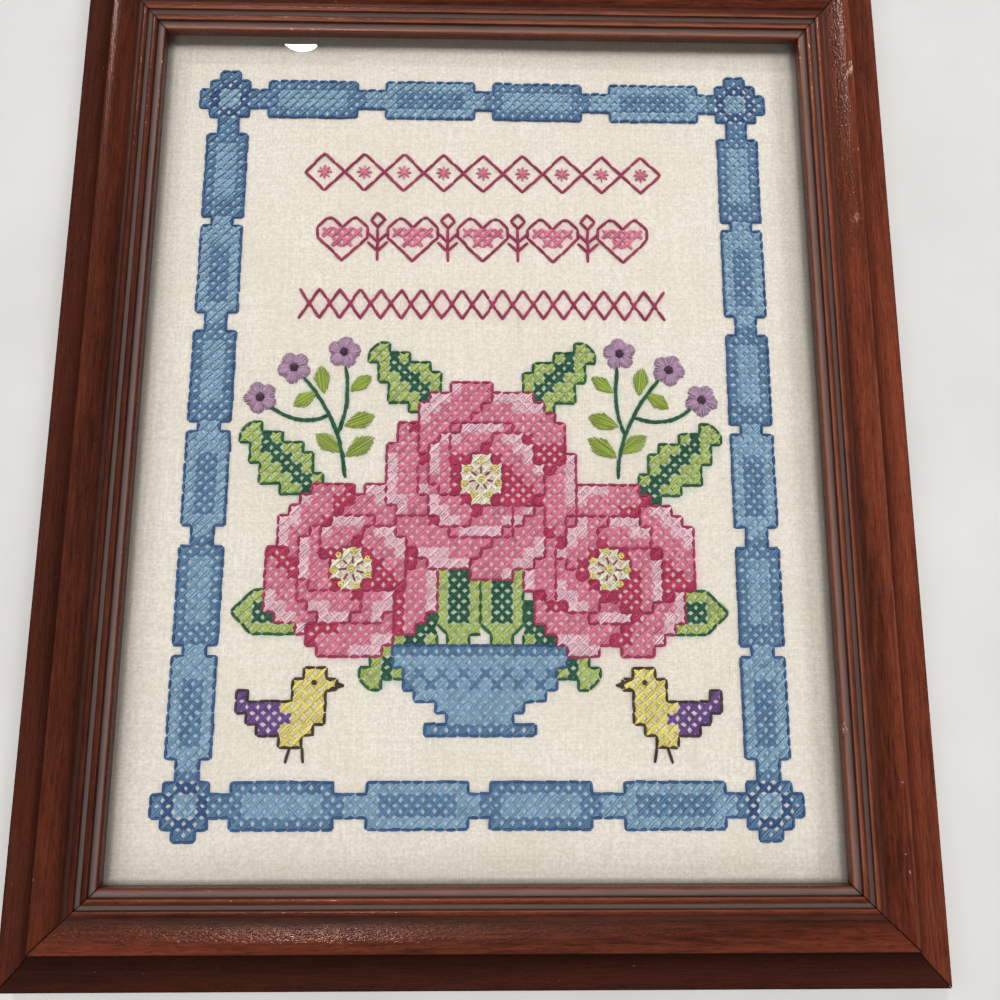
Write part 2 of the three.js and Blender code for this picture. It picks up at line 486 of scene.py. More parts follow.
def moulding_section():
    """Closed section of the moulding: out, up, worn edges with painted highlight, dusty film with painted
    sheen, painted shade and bareness of each point.
    """
    points = [LIP_FOOT]
    for row in MOULDING_FACE:
        start = np.array(points[-1][:2])
        end = np.array([row["out"], LIP_BACK + row["rise"]])
        chord = end - start
        side = left_of(chord) / np.hypot(*chord)
        middle = (start + end) / 2 + 2 * row["bulge"] * side
        # Worn edges with painted highlight, and painted shade, eased from the last end to this one
        last_wear_and_highlight, last_painted_shade = points[-1][2], points[-1][4]
        late_wear_and_highlight = row["wear"] > last_wear_and_highlight
        late_painted_shade = row["gloom"] > last_painted_shade or chord[1] > chord[0]
        for t in np.arange(1, row["steps"] + 1) / row["steps"]:
            place = (1 - t) ** 2 * start + 2 * t * (1 - t) * middle + t * t * end
            wear = eased(last_wear_and_highlight, row["wear"], t, late_wear_and_highlight)
            dust = row["dust"] if t < 1 else 0.0
            # Painted shade towards the feet of risers, grooves and the step
            gloom = eased(last_painted_shade, row["gloom"], t, late_painted_shade)
            points.append((*place, wear, dust, gloom, 0.0))
    face = np.array(points)
    shape = face[:, :2]
    for _ in range(SOFTENING_PASSES):
        shape[1:-1] = 0.25 * shape[:-2] + 0.5 * shape[1:-1] + 0.25 * shape[2:]
    return np.vstack([face, RAIL_BACK])


def slow_waves(along, out):
    """Gentle unevenness of planed and varnished wood."""
    height = np.zeros(along.shape)
    for length, across in WOOD_WAVES:
        shift = rng.uniform(0, 2 * math.pi)
        height += np.sin(2 * math.pi * along / length + out / across + shift)
    return height / len(WOOD_WAVES)


def rail_piece(rail, section, material):
    """One rail: the section drawn out between its mitres, with worn edges and painted highlights, painted
    shade, knocks and grain.
    """
    out, up, wear, dust, gloom, bare = section.T
    reach = rail["length"] / 2 + out - MITRE_GAP / math.sqrt(2)
    knocks = [knock for knock in KNOCKS if knock["node"] == rail["node"]]
    fine = [(knock["along"] + KNOCK_STATIONS) / (rail["length"] / 2 + knock["out"]) for knock in knocks]
    even = np.linspace(-1, 1, RAIL_STATIONS)
    station = np.unique(np.concatenate([even, MITRE_STATIONS, -MITRE_STATIONS, *fine]))[:, None]
    along = station * reach
    joint = np.clip(1 - (reach - np.abs(along)) / MITRE_GRIME, 0, 1)
    out = np.broadcast_to(out, along.shape)
    face = np.broadcast_to(bare == 0, along.shape)
    up = up + np.where(face, WAVE_HEIGHT * slow_waves(along, out), 0.0)
    chip = np.zeros(along.shape)
    for knock in knocks:
        dent = np.where(face, knock_share(knock, along, out), 0.0)
        up = up - knock["depth"] * dent
        chip = chip + knock["torn"] * dent
    turn = Matrix.Rotation(math.radians(rail["turn"]), 3, "Z")
    flat = np.stack([along, rail["offset"] + out, up], axis=-1).reshape(-1, 3)
    points = flat @ np.array(turn).T
    ring = len(section)
    index = np.arange(len(station) * ring).reshape(len(station), ring)
    ahead = np.roll(index, -1, axis=1)
    sides = quads(index[1:], ahead[1:], ahead[:-1], index[:-1])
    faces = sides.tolist() + [index[0].tolist(), index[-1, ::-1].tolist()]
    piece = add_piece("wood_" + rail["node"], points, faces, material)
    piece.data.set_sharp_from_angle(angle=SHARP_ANGLE)
    grain = np.stack([along + rng.uniform(0, PLANK_LENGTH), out, up], axis=-1).reshape(-1, 3)
    add_values(piece, "grain", grain)
    # Painted shade on the darker rails and their coves
    stain = np.where(section[:, 0] < CROWN_EDGE, rail["stain"], rail["cove_stain"])
    # Worn edges with painted highlight, shown more on the rails that catch the light
    wear = wear * rail["rubbed"]
    # Grime beside the mitres joins the painted shade
    gloom = np.maximum(gloom, MITRE_GLOOM * joint)
    for name, values in zip(WOOD_STATES, (wear, dust, gloom, stain, chip, bare)):
        add_values(piece, name, np.broadcast_to(values, along.shape).ravel())
    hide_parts(rail["node"])


# Embroidery

# Threads: sRGB colour of each floss
THREADS = {
    "blue": (86, 124, 158),
    "soft_blue": (126, 162, 188),
    "navy": (44, 82, 132),
    "raspberry": (156, 36, 80),
    "crimson": (182, 44, 86),
    "rose": (212, 116, 144),
    "pink": (240, 190, 204),
    "cream": (240, 230, 202),
    "yellow": (228, 212, 116),
    "dark_green": (16, 84, 58),
    "lime": (146, 166, 64),
    "pale_lime": (168, 186, 98),
    "lilac": (168, 136, 164),
    "violet": (104, 66, 138),
    "plum": (62, 34, 54),
    "brown": (60, 42, 34),
}

# Kinds of stitch: lift and width in millimetres, and number of strands
STITCH_KINDS = {
    "lower arm": (0.2, 1.24, 2),
    "upper arm": (0.48, 1.24, 2),
    "outline": (0.5, 0.8, 1),
    "line": (0.42, 0.86, 1),
    "spray line": (0.42, 0.85, 1),
    "bird line": (0.42, 0.8, 1),
    "star ray": (0.45, 0.7, 2),
    "stamen": (1.0, 0.5, 1),
    "knot turn": (0.95, 0.45, 1),
    "knot top": (1.0, 0.6, 1),
    "stem": (0.42, 1.05, 2),
    "satin leaf": (0.45, 0.4, 1),
    "satin petal": (0.55, 0.45, 1),
    "satin heart": (0.85, 0.55, 1),
}

# Back stitch: its usual length, and how far it reaches past its holes, both in squares
LINE_STITCH = 1.2
LINE_OVERLAP = 0.05


class Embroidery:
    """Squares filled with cross stitches, and every straight stitch laid over the cloth."""

    def __init__(self):
        self.squares = {}
        self.outlines = []
        self.stitches = {thread: [] for thread in THREADS}

    def fill(self, cells, outline=None, tips=()):
        """Fills squares, given as place to thread, over whatever is there. An outline slants at its tips."""
        number = len(self.outlines)
        self.outlines.append((outline, tips))
        for place, thread in cells.items():
            self.squares[place] = (thread, number)

    def straight(self, thread, kind, start, end):
        """One stitch between two places."""
        self.stitches[thread].append((*start, *end, *STITCH_KINDS[kind]))

    def line(self, thread, points, kind="line", at=(0, 0)):
        """Back stitches along a run of places, each about a square long and a little past its holes."""
        points = np.add(points, at, dtype=float)
        for start, end in zip(points[:-1], points[1:]):
            count = max(1, round(math.dist(start, end) / LINE_STITCH))
            places = [start + (end - start) * k / count for k in range(count + 1)]
            past = LINE_OVERLAP * (end - start) / math.dist(start, end)
            for first, second in zip(places[:-1], places[1:]):
                self.straight(thread, kind, first - past, second + past)

    def owner(self, place):
        return self.squares.get(place, (None, -1))

    def cover(self):
        """Works the crosses and the outlines of what has been filled."""
        for place, (thread, number) in self.squares.items():
            outline, tips = self.outlines[number]
            edges = []
            if outline is not None:
                beyond = [self.owner(side[0])[1] for side in sides_of(place)]
                edges = [k for k in range(4) if beyond[k] < number]
            if place in tips and len(edges) == 2 and (edges[1] - edges[0]) % 2 == 1:
                self.corner(place, thread, outline, edges)
                continue
            column, row = place
            self.straight(thread, "lower arm", (column, row), (column + 1, row + 1))
            self.straight(thread, "upper arm", (column, row + 1), (column + 1, row))
            for k in edges:
                _, start, end = sides_of(place)[k]
                self.straight(outline, "outline", start, end)

    def corner(self, place, thread, outline, edges):
        """A three quarter stitch, cut off by a slanting outline, where an outline turns."""
        (beyond, *first), (across, *second) = (sides_of(place)[k] for k in edges)
        (outer,) = set(first) & set(second)
        (start,) = set(first) - {outer}
        (end,) = set(second) - {outer}
        middle = np.array(place) + 0.5
        inner = 2 * middle - outer
        self.straight(thread, "lower arm", start, end)
        self.straight(thread, "upper arm", middle, inner)
        self.straight(outline, "outline", start, end)
        behind = self.owner(beyond)[0]
        if behind and self.owner(across)[0]:
            self.straight(behind, "lower arm", outer, middle)


def sides_of(place):
    """The square beyond each side of a square, going round, and the ends of that side."""
    column, row = place
    beyond = ((column, row - 1), (column + 1, row), (column, row + 1), (column - 1, row))
    corners = ((column, row), (column + 1, row), (column + 1, row + 1), (column, row + 1))
    return list(zip(beyond, corners, corners[1:] + corners[:1]))


def mirrored_cells(cells):
    """The matching squares on the other half of the picture."""
    return {(COLUMNS - 1 - column, row): thread for (column, row), thread in cells.items()}


def across_picture(place):
    """The matching place on the other half of the picture."""
    return (COLUMNS - place[0], place[1])


# Border: long stepped lozenges that meet at their tips, with a diamond in each corner
BORDER_LINE = 6
BORDER_HALF = 2
LOZENGE_LENGTH = 10.6
LOZENGE_TIP = 1
STRIPE_INSET = 2.2
CORNER_REACH = 3
CORNER_RINGS = ("soft_blue", "navy", "blue")


def border_run(length):
    """Squares of one side, as place along, place across from the middle line, and thread."""
    first = BORDER_LINE + CORNER_REACH
    span = length - 2 * first
    count = round(span / LOZENGE_LENGTH)
    for along in range(first, first + span):
        number, share = divmod((along + 0.5 - first) * count / span, 1)
        from_tip = LOZENGE_LENGTH * min(share, 1 - share)
        half = BORDER_HALF if from_tip > LOZENGE_TIP else 1
        for across in range(-half, half):
            middle = across in (-1, 0) and from_tip > STRIPE_INSET
            yield along, across, "soft_blue" if middle == (number % 2 == 0) else "blue"


def border_cells():
    """Squares of the four sides and corners."""
    cells = {}
    columns = (BORDER_LINE, COLUMNS - BORDER_LINE)
    rows = (BORDER_LINE, ROWS - BORDER_LINE)
    for row in rows:
        for along, across, thread in border_run(COLUMNS):
            cells[along, row + across] = thread
    for column in columns:
        for along, across, thread in border_run(ROWS):
            cells[column + across, along] = thread
    for column in columns:
        for row in rows:
            for place, x, y in squares_near((column, row), CORNER_REACH):
                ring = round(abs(x) + abs(y))
                if ring <= CORNER_REACH:
                    cells[place] = CORNER_RINGS[ring - 1]
    return cells


# Bands of back stitch across the upper half
BAND_LEFT = 14
BAND_RIGHT = COLUMNS - BAND_LEFT
DIAMOND_ROW = 14
DIAMOND_HALF = 2
STAR_REACH = 0.8
STAR_ANGLES = (0, 45, 90, 135)
HEART_ROW = 21
HEART_COUNT = 5
HEART_SPACING = 7
HEART = (
    (0, 2.5), (-2.5, 0), (-2.5, -1), (-1.5, -2), (-1, -2), (0, -1),
    (1, -2), (1.5, -2), (2.5, -1), (2.5, 0), (0, 2.5),
)
HEART_CELLS = ((-2, -1), (-1, -1), (0, -1), (1, -1), (-1, 0), (0, 0))
SPRAY = (
    ((0, 2.5), (0, -1)),
    ((0, 1.5), (-1, 0.5)),
    ((0, 1.5), (1, 0.5)),
    ((0, 0.5), (-1, -0.5)),
    ((0, 0.5), (1, -0.5)),
    ((0, -1), (-0.7, -1.8), (0, -2.6), (0.7, -1.8), (0, -1)),
)
BRAID_ROW = 28
BRAID_STEP = 2
BRAID_HALF = 1.5


def diamond_band(work):
    """A row of diamonds, each with a star in it."""
    half = DIAMOND_HALF
    corners = ((-half, 0), (0, -half), (half, 0), (0, half), (-half, 0))
    for column in range(BAND_LEFT + half, BAND_RIGHT + half, 2 * half):
        middle = np.array([column, DIAMOND_ROW])
        work.line("raspberry", corners, at=middle)
        for angle in STAR_ANGLES:
            ray = STAR_REACH * ray_at(math.radians(angle))
            work.straight("rose", "star ray", middle - ray, middle + ray)


def heart_band(work):
    """A row of hearts with a small plant between each two."""
    for number in range(HEART_COUNT):
        column = COLUMNS // 2 + HEART_SPACING * (number - HEART_COUNT // 2)
        work.line("raspberry", HEART, at=(column, HEART_ROW))
        work.fill({(column + x, HEART_ROW + y): "rose" for x, y in HEART_CELLS})
        if number == HEART_COUNT - 1:
            break
        middle = column + HEART_SPACING / 2
        for stroke in SPRAY:
            work.line("raspberry", stroke, "spray line", at=(middle, HEART_ROW))


def braid_band(work):
    """Two zigzags that cross."""
    columns = range(BAND_LEFT, BAND_RIGHT + 1, BRAID_STEP)
    for first in (-BRAID_HALF, BRAID_HALF):
        places = [(column, BRAID_ROW + first * (-1) ** k) for k, column in enumerate(columns)]
        work.line("raspberry", places)


# Flower piece in the lower half
BLOOMS = table(
    "middle radius petals turn",
    ((20.0, 54.0), 8.4, 5, 0.35),
    ((44.0, 54.0), 8.4, 5, 0.95),
    ((32.0, 45.5), 9.4, 6, 0.2),
)

# Rings of petals in a bloom, from the outside in, as shares of its radius. A petal is dark below deep
# and pale above pale.
PETAL_RINGS = table(
    "inner outer half turn deep pale",
    (0.12, 1.0, 0.5, 0.0, 0.12, 0.78),
    (0.02, 0.62, 0.36, 0.5, 0.0, 0.62),
)
PETAL_ROUNDNESS = 2.4
PETAL_LIGHT = 0.55
BLOOM_HEART = 0.24

# Stamens of a bloom: how many, and where they start, end and have their knots, in squares
STAMENS = 7
STAMEN_ENDS = (0.5, 1.2)
STAMEN_KNOT = 1.7

# Knots: radius in squares, stitches round one, and how far each reaches past the next
STAMEN_KNOT_RADIUS = 0.28
EYE_RADIUS = 0.2
KNOT_TURNS = 6
KNOT_REACH = 1.4

# Leaves: d for the dark rib, l for the light margins and t for squares cut across at a tip
STRAIGHT_LEAF = (
    ".tt.",
    "tllt",
    *5 * ["lddl"],
    ".dd.",
)
SLANTING_LEAF = (
    "tl......",
    "lldl....",
    ".lddll..",
    ".llddll.",
    "..llddl.",
    "..lllddl",
    "....lldd",
    "......dd",
)
LEAF_THREADS = {"d": "dark_green", "l": "pale_lime", "t": "pale_lime"}
LEAVES = (
    (SLANTING_LEAF, (9, 40)),
    (SLANTING_LEAF, (21, 32)),
    (tuple("".join(marks) for marks in zip(*STRAIGHT_LEAF)), (9, 56)),
    (SLANTING_LEAF[::-1], (21, 57)),
    (STRAIGHT_LEAF[::-1], (28, 53)),
)
BOWL_ROW = 61
BOWL_HALVES = (8, 8, 7, 7, 6, 4, 3, 5)
ZIGZAG_STEPS = (2, 3)
BIRD = (
    "......yy.",
    ".....yyyy",
    "v....yyy.",
    "vvvvyyyy.",
    ".vvvvyyy.",
    "..vvyyy..",
    "....yy...",
)
BIRD_THREADS = {"y": "yellow", "v": "violet"}
BIRD_PLACE = (10, 63)
BIRD_LINES = [
    ((8.0, 1.0), (9.6, 1.6), (8.0, 2.0)),
    ((5.0, 7.0), (4.6, 8.4)),
    ((6.0, 7.0), (6.2, 8.4)),
]
BIRD_EYE = (7.0, 1.3)

# Stems of the fine flowers on the left: start, bend and end
STEMS = (
    ((19.0, 45.4), (18.8, 40.0), (14.7, 35.5)),
    ((18.2, 41.2), (19.5, 38.4), (18.8, 34.4)),
    ((17.4, 39.3), (14.5, 40.7), (11.7, 38.5)),
)
FINE_FLOWERS = [(13.8, 34.6), (18.6, 33.0), (10.7, 37.6)]
FINE_LEAVES = table(
    "at heading length",
    ((18.9, 43.4), 34, 3.6),
    ((18.7, 40.4), 20, 3.4),
    ((18.8, 43.0), 146, 3.4),
    ((19.2, 37.0), 38, 2.8),
    ((16.8, 37.3), 98, 3.1),
    ((16.2, 36.9), 214, 2.9),
)

# Stem stitch: stitches for each square of its length, and the slant of each
STEM_DENSITY = 1.4
STEM_SLANT = 0.07

# A satin stitched leaf: strands, how near its rim they come, its half width as a share of its length,
# and how far the outer strands lean
LEAF_STRANDS = 12
LEAF_RIM = 0.96
LEAF_HALF = 0.22
LEAF_LEAN = 0.1

# A satin stitched flower, in squares: its turn and that from each flower to the next, petals, strands
# in each, and where these start, end and spread
FLOWER_TURN = 0.4
NEXT_FLOWER_TURN = 0.7
FLOWER_PETALS = 5
PETAL_STRANDS = 11
PETAL_FOOT = 0.34
PETAL_FOOT_HALF = 0.22
PETAL_REACH = 1.05
PETAL_CROWN = 0.6
PETAL_FLATNESS = 0.95
PETAL_HALF = 0.7

# The dark heart of such a flower: strands, turn from each to the next, and their ends
HEART_STRANDS = 9
HEART_TURN = 2.4
HEART_STRAND_ENDS = (-0.42, 0.46)


def squares_near(middle, reach):
    """Squares within reach of a place, with the offset of each one's middle from it."""
    for column in range(int(middle[0] - reach), int(middle[0] + reach) + 1):
        for row in range(int(middle[1] - reach), int(middle[1] + reach) + 1):
            yield (column, row), column + 0.5 - middle[0], row + 0.5 - middle[1]


def petal_cells(bloom, ring, angle):
    """A broad rounded petal, dark where it springs and pale along one side of its rim."""
    cells = {}
    radius = bloom["radius"]
    middle = (ring["inner"] + ring["outer"]) / 2 * radius
    reach = (ring["outer"] - ring["inner"]) / 2 * radius
    for place, x, y in squares_near(bloom["middle"], radius + 1):
        along = (x * math.cos(angle) + y * math.sin(angle) - middle) / reach
        across = (y * math.cos(angle) - x * math.sin(angle)) / (ring["half"] * radius)
        if abs(along) ** PETAL_ROUNDNESS + abs(across) ** PETAL_ROUNDNESS > 1:
            continue
        light = along - PETAL_LIGHT * across
        cells[place] = "crimson" if light < ring["deep"] else "pink" if light > ring["pale"] else "rose"
    return cells


def work_bloom(work, bloom):
    """A full round flower: rings of overlapping petals round a pale heart."""
    for ring in PETAL_RINGS:
        for number in range(bloom["petals"]):
            angle = bloom["turn"] + 2 * math.pi * (number + ring["turn"]) / bloom["petals"]
            work.fill(petal_cells(bloom, ring, angle), "raspberry")
    heart = BLOOM_HEART * bloom["radius"]
    near = squares_near(bloom["middle"], heart + 1)
    work.fill({place: "cream" for place, x, y in near if math.hypot(x, y) < heart}, "raspberry")


def bowl_cells():
    """A footed bowl with a darker rim and foot and a zigzag round its body."""
    cells = {}
    middle = COLUMNS // 2
    last = len(BOWL_HALVES) - 1
    for step, half in enumerate(BOWL_HALVES):
        for column in range(middle - half, middle + half):
            zigzag = step in ZIGZAG_STEPS and (column + step) % 2 == 0
            cells[column, BOWL_ROW + step] = "blue" if zigzag or step in (0, last) else "soft_blue"
    return cells


def chart_cells(rows, threads, place):
    """Squares of a small chart whose top left corner lies at a place."""
    cells = {}
    for down, text in enumerate(rows):
        for along, mark in enumerate(text):
            if mark in threads:
                cells[place[0] + along, place[1] + down] = threads[mark]
    return cells


def bloom_heart(work, bloom):
    """Short stamens and knots over the middle of a flower."""
    middle = np.array(bloom["middle"])
    inner, outer = STAMEN_ENDS
    for number in range(STAMENS):
        ray = ray_at(2 * math.pi * number / STAMENS + bloom["turn"])
        work.straight("raspberry", "stamen", middle + inner * ray, middle + outer * ray)
        knot(work, "yellow", middle + STAMEN_KNOT * ray, STAMEN_KNOT_RADIUS)
    knot(work, "yellow", middle, STAMEN_KNOT_RADIUS)


def knot(work, thread, middle, radius):
    """A small coiled knot, as short stitches round its middle."""
    for number in range(KNOT_TURNS):
        angles = [2 * math.pi * turn / KNOT_TURNS for turn in (number, number + KNOT_REACH)]
        start, end = (middle + radius * ray_at(angle) for angle in angles)
        work.straight(thread, "knot turn", start, end)
    across = np.array([radius, 0])
    work.straight(thread, "knot top", middle - across, middle + across)


def stem(work, points):
    """Stem stitch: short slanting stitches that overlap like the lay of a rope."""
    points = np.array(points)
    for start, end in zip(points[:-2], points[2:]):
        ahead = (end - start) / math.dist(start, end)
        side = STEM_SLANT * left_of(ahead)
        work.straight("dark_green", "stem", start + side, end - side)


def bent(start, bend, end, count):
    """Places along a curve that sets out towards its bend and comes from there to its end."""
    t = np.linspace(0, 1, count)[:, None]
    return (1 - t) ** 2 * np.array(start) + 2 * t * (1 - t) * np.array(bend) + t * t * np.array(end)


def satin_leaf(work, at, heading, length, mirror):
    """A pointed leaf of long strands that run from its foot to its tip."""
    angle = math.radians(180 - heading if mirror else heading)
    ahead = ray_at(-angle)
    side = left_of(ahead)
    for share in np.linspace(-LEAF_RIM, LEAF_RIM, LEAF_STRANDS):
        half = 0.5 * length * math.sqrt(1 - abs(share))
        middle = np.array(at) + ahead * length / 2 + side * share * LEAF_HALF * length
        reach = ahead * half + LEAF_LEAN * share * side
        work.straight("lime", "satin leaf", middle - reach, middle + reach)


def satin_flower(work, middle, turn):
    """Satin stitched petals round a dark heart."""
    middle = np.array(middle)
    for petal in range(FLOWER_PETALS):
        ahead = ray_at(turn + 2 * math.pi * petal / FLOWER_PETALS)
        side = left_of(ahead)
        for share in np.linspace(-1, 1, PETAL_STRANDS):
            reach = PETAL_REACH + PETAL_CROWN * math.sqrt(1 - PETAL_FLATNESS * share * share)
            inner = middle + PETAL_FOOT * ahead + PETAL_FOOT_HALF * share * side
            outer = middle + reach * ahead + PETAL_HALF * share * side
            work.straight("lilac", "satin petal", inner, outer)
    first, last = HEART_STRAND_ENDS
    for number in range(HEART_STRANDS):
        ray = ray_at(turn + HEART_TURN * number)
        work.straight("plum", "satin heart", middle + first * ray, middle + last * ray)


def work_birds(work):
    """Two small birds that face the bowl."""
    cells = chart_cells(BIRD, BIRD_THREADS, BIRD_PLACE)
    work.fill(cells, "brown")
    work.fill(mirrored_cells(cells), "brown")
    for turn in (tuple, across_picture):
        for line in BIRD_LINES:
            work.line("brown", [turn(np.add(BIRD_PLACE, place)) for place in line], "bird line")
        knot(work, "brown", np.array(turn(np.add(BIRD_PLACE, BIRD_EYE))), EYE_RADIUS)


def work_sprays(work):
    """Fine satin flowers on stems at both sides."""
    for mirror, turn in enumerate((tuple, across_picture)):
        for start, bend, end in STEMS:
            count = 3 + round(STEM_DENSITY * math.dist(start, end))
            stem(work, bent(turn(start), turn(bend), turn(end), count))
        for leaf in FINE_LEAVES:
            satin_leaf(work, turn(leaf["at"]), leaf["heading"], leaf["length"], mirror)
        for number, flower in enumerate(FINE_FLOWERS):
            satin_flower(work, turn(flower), FLOWER_TURN + NEXT_FLOWER_TURN * number + mirror)


def work_leaves(work):
    """Broad leaves round the flowers, the same on both sides."""
    for chart, place in LEAVES:
        cells = chart_cells(chart, LEAF_THREADS, place)
        tips = chart_cells(chart, {"t": "pale_lime"}, place)
        work.fill(cells, "dark_green", tips)
        work.fill(mirrored_cells(cells), "dark_green", mirrored_cells(tips))


def design():
    """A banded sampler: a lozenge border, bands of back stitch, and a bowl of flowers with two birds."""
    work = Embroidery()
    work.fill(border_cells(), "navy")
    diamond_band(work)
    heart_band(work)
    braid_band(work)
    work_leaves(work)
    work.fill(bowl_cells(), "navy")
    for bloom in BLOOMS:
        work_bloom(work, bloom)
    work_birds(work)
    work.cover()
    for bloom in BLOOMS:
        bloom_heart(work, bloom)
    work_sprays(work)
    return work


# Cloth

# Slow unevenness of the stretched cloth, as in its solid
RIPPLES = table(
    "height across up shift",
    (0.1, 1.3, 0.8, 0.4),
    (0.07, -2.1, 1.7, 1.9),
    (0.05, 3.2, 4.1, 3.1),
)
CLOTH_CELLS = (192, 240)
CLOTH_THICKNESS = 0.5

# How far the stitches push the cloth up, and over how many half stitches that fades
PADDING_HEIGHT = 0.12
PADDING_SPREAD = 2

# Share of cover by stitches from which dye shows in the cloth
DYE_EDGE = 0.28


def to_cloth(places):
    """Millimetres on the cloth of places counted in stitches."""
    places = np.asarray(places, float)
    return np.stack([places[..., 0] * PITCH - SIGHT_X, SIGHT_Y - places[..., 1] * PITCH], axis=-1)


def ripple(x, y):
    """Height of the cloth's slow unevenness at a place."""
    height = np.zeros(np.shape(x))
    for row in RIPPLES:
        wave = row["across"] * x / (2 * pane_high[0]) + row["up"] * y / (2 * pane_high[1])
        height = height + row["height"] * np.sin(2 * math.pi * wave + row["shift"])
    return height


def blurred(field, passes):
    """A field whose values run into their neighbours."""
    for _ in range(passes):
        for axis in (0, 1):
            field = (np.roll(field, 1, axis) + 2 * field + np.roll(field, -1, axis)) / 4
    return field


class Coverage:
    """How thickly stitches of some threads lie over the cloth, on a grid of half stitches."""

    # Squares kept round the picture, and the places along a stitch that count
    MARGIN = 8
    SHARES = (0.25, 0.75)

    def __init__(self, work, threads, passes):
        shape = (2 * (ROWS + 2 * self.MARGIN), 2 * (COLUMNS + 2 * self.MARGIN))
        field = np.zeros(shape)
        for thread in threads:
            for x0, y0, x1, y1, *_ in work.stitches[thread]:
                for share in self.SHARES:
                    x = x0 + (x1 - x0) * share + self.MARGIN
                    y = y0 + (y1 - y0) * share + self.MARGIN
                    field[int(2 * y), int(2 * x)] = 1
        self.field = blurred(field, passes)

    def at(self, x, y):
        """Cover at places on the cloth, in millimetres."""
        column = ((x + SIGHT_X) / PITCH + self.MARGIN) * 2 - 0.5
        row = ((SIGHT_Y - y) / PITCH + self.MARGIN) * 2 - 0.5
        c = np.clip(np.floor(column).astype(int), 0, self.field.shape[1] - 2)
        r = np.clip(np.floor(row).astype(int), 0, self.field.shape[0] - 2)
        u = np.clip(column - c, 0, 1)
        v = np.clip(row - r, 0, 1)
        f = self.field
        top = f[r, c] * (1 - u) + f[r, c + 1] * u
        low = f[r + 1, c] * (1 - u) + f[r + 1, c + 1] * u
        return top * (1 - v) + low * v


def cloth_piece(work, height):
    """The stretched sheet, closed round its edge, with dye round the stitches."""
    nx, ny = CLOTH_CELLS
    x, y = np.meshgrid(
        np.linspace(-pane_high[0], pane_high[0], nx + 1),
        np.linspace(-pane_high[1], pane_high[1], ny + 1),
    )
    top = np.stack([x, y, height(x, y)], axis=-1).reshape(-1, 3)
    bottom = top - np.array([0, 0, CLOTH_THICKNESS])
    index = np.arange(len(top)).reshape(ny + 1, nx + 1)
    cells = quads(index[:-1, :-1], index[:-1, 1:], index[1:, 1:], index[1:, :-1])
    rim = np.concatenate([index[0, :-1], index[:-1, -1], index[-1, :0:-1], index[:0:-1, 0]])
    after = np.roll(rim, -1)
    below = len(top)
    sides = quads(rim, rim + below, after + below, after)
    faces = np.vstack([cells, cells[:, ::-1] + below, sides]).tolist()
    piece = add_piece("cloth_sheet", np.vstack([top, bottom]), faces, cloth_material())
    piece.data.set_sharp_from_angle(angle=SHARP_ANGLE)
    for dye in DYES:
        covered = Coverage(work, dye["threads"], dye["spread"]).at(top[:, 0], top[:, 1])
        share = np.clip((covered - DYE_EDGE) / (1 - DYE_EDGE), 0, 1)
        add_values(piece, dye["name"], np.tile(dye["strength"] * share, 2))
    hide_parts("cloth")
    return piece


# Threads

# A strand: sides round it, places along it, and its rise there as a share of its lift, below 0 if sunk
THREAD_SIDES = 5
THREAD_STATIONS = np.array([0.0, 0.08, 0.3, 0.7, 0.92, 1.0])
THREAD_RISE = np.array([-1.0, 0.6, 1.0, 1.0, 0.6, -1.0])
SUNK_END = 0.3

# Its plumpness, its largest half height, and at its ends its width and its distance from other strands
PLUMPNESS = 0.58
HALF_HEIGHT = 0.28
END_WIDTH = 0.75
END_DISTANCE = 0.35

# How far holes and lifts stray, in millimetres
HOLE_JITTER = 0.09
LIFT_JITTER = 0.05


def thread_strands(stitches):
    """Each stitch as its strands: ends, lift, half width and shift to the side."""
    rows = []
    for x0, y0, x1, y1, lift, width, strands in stitches:
        for number in range(strands):
            shift = (number - (strands - 1) / 2) * width / strands
            rows.append((x0, y0, x1, y1, lift, PLUMPNESS * width / strands, shift))
    return np.array(rows)


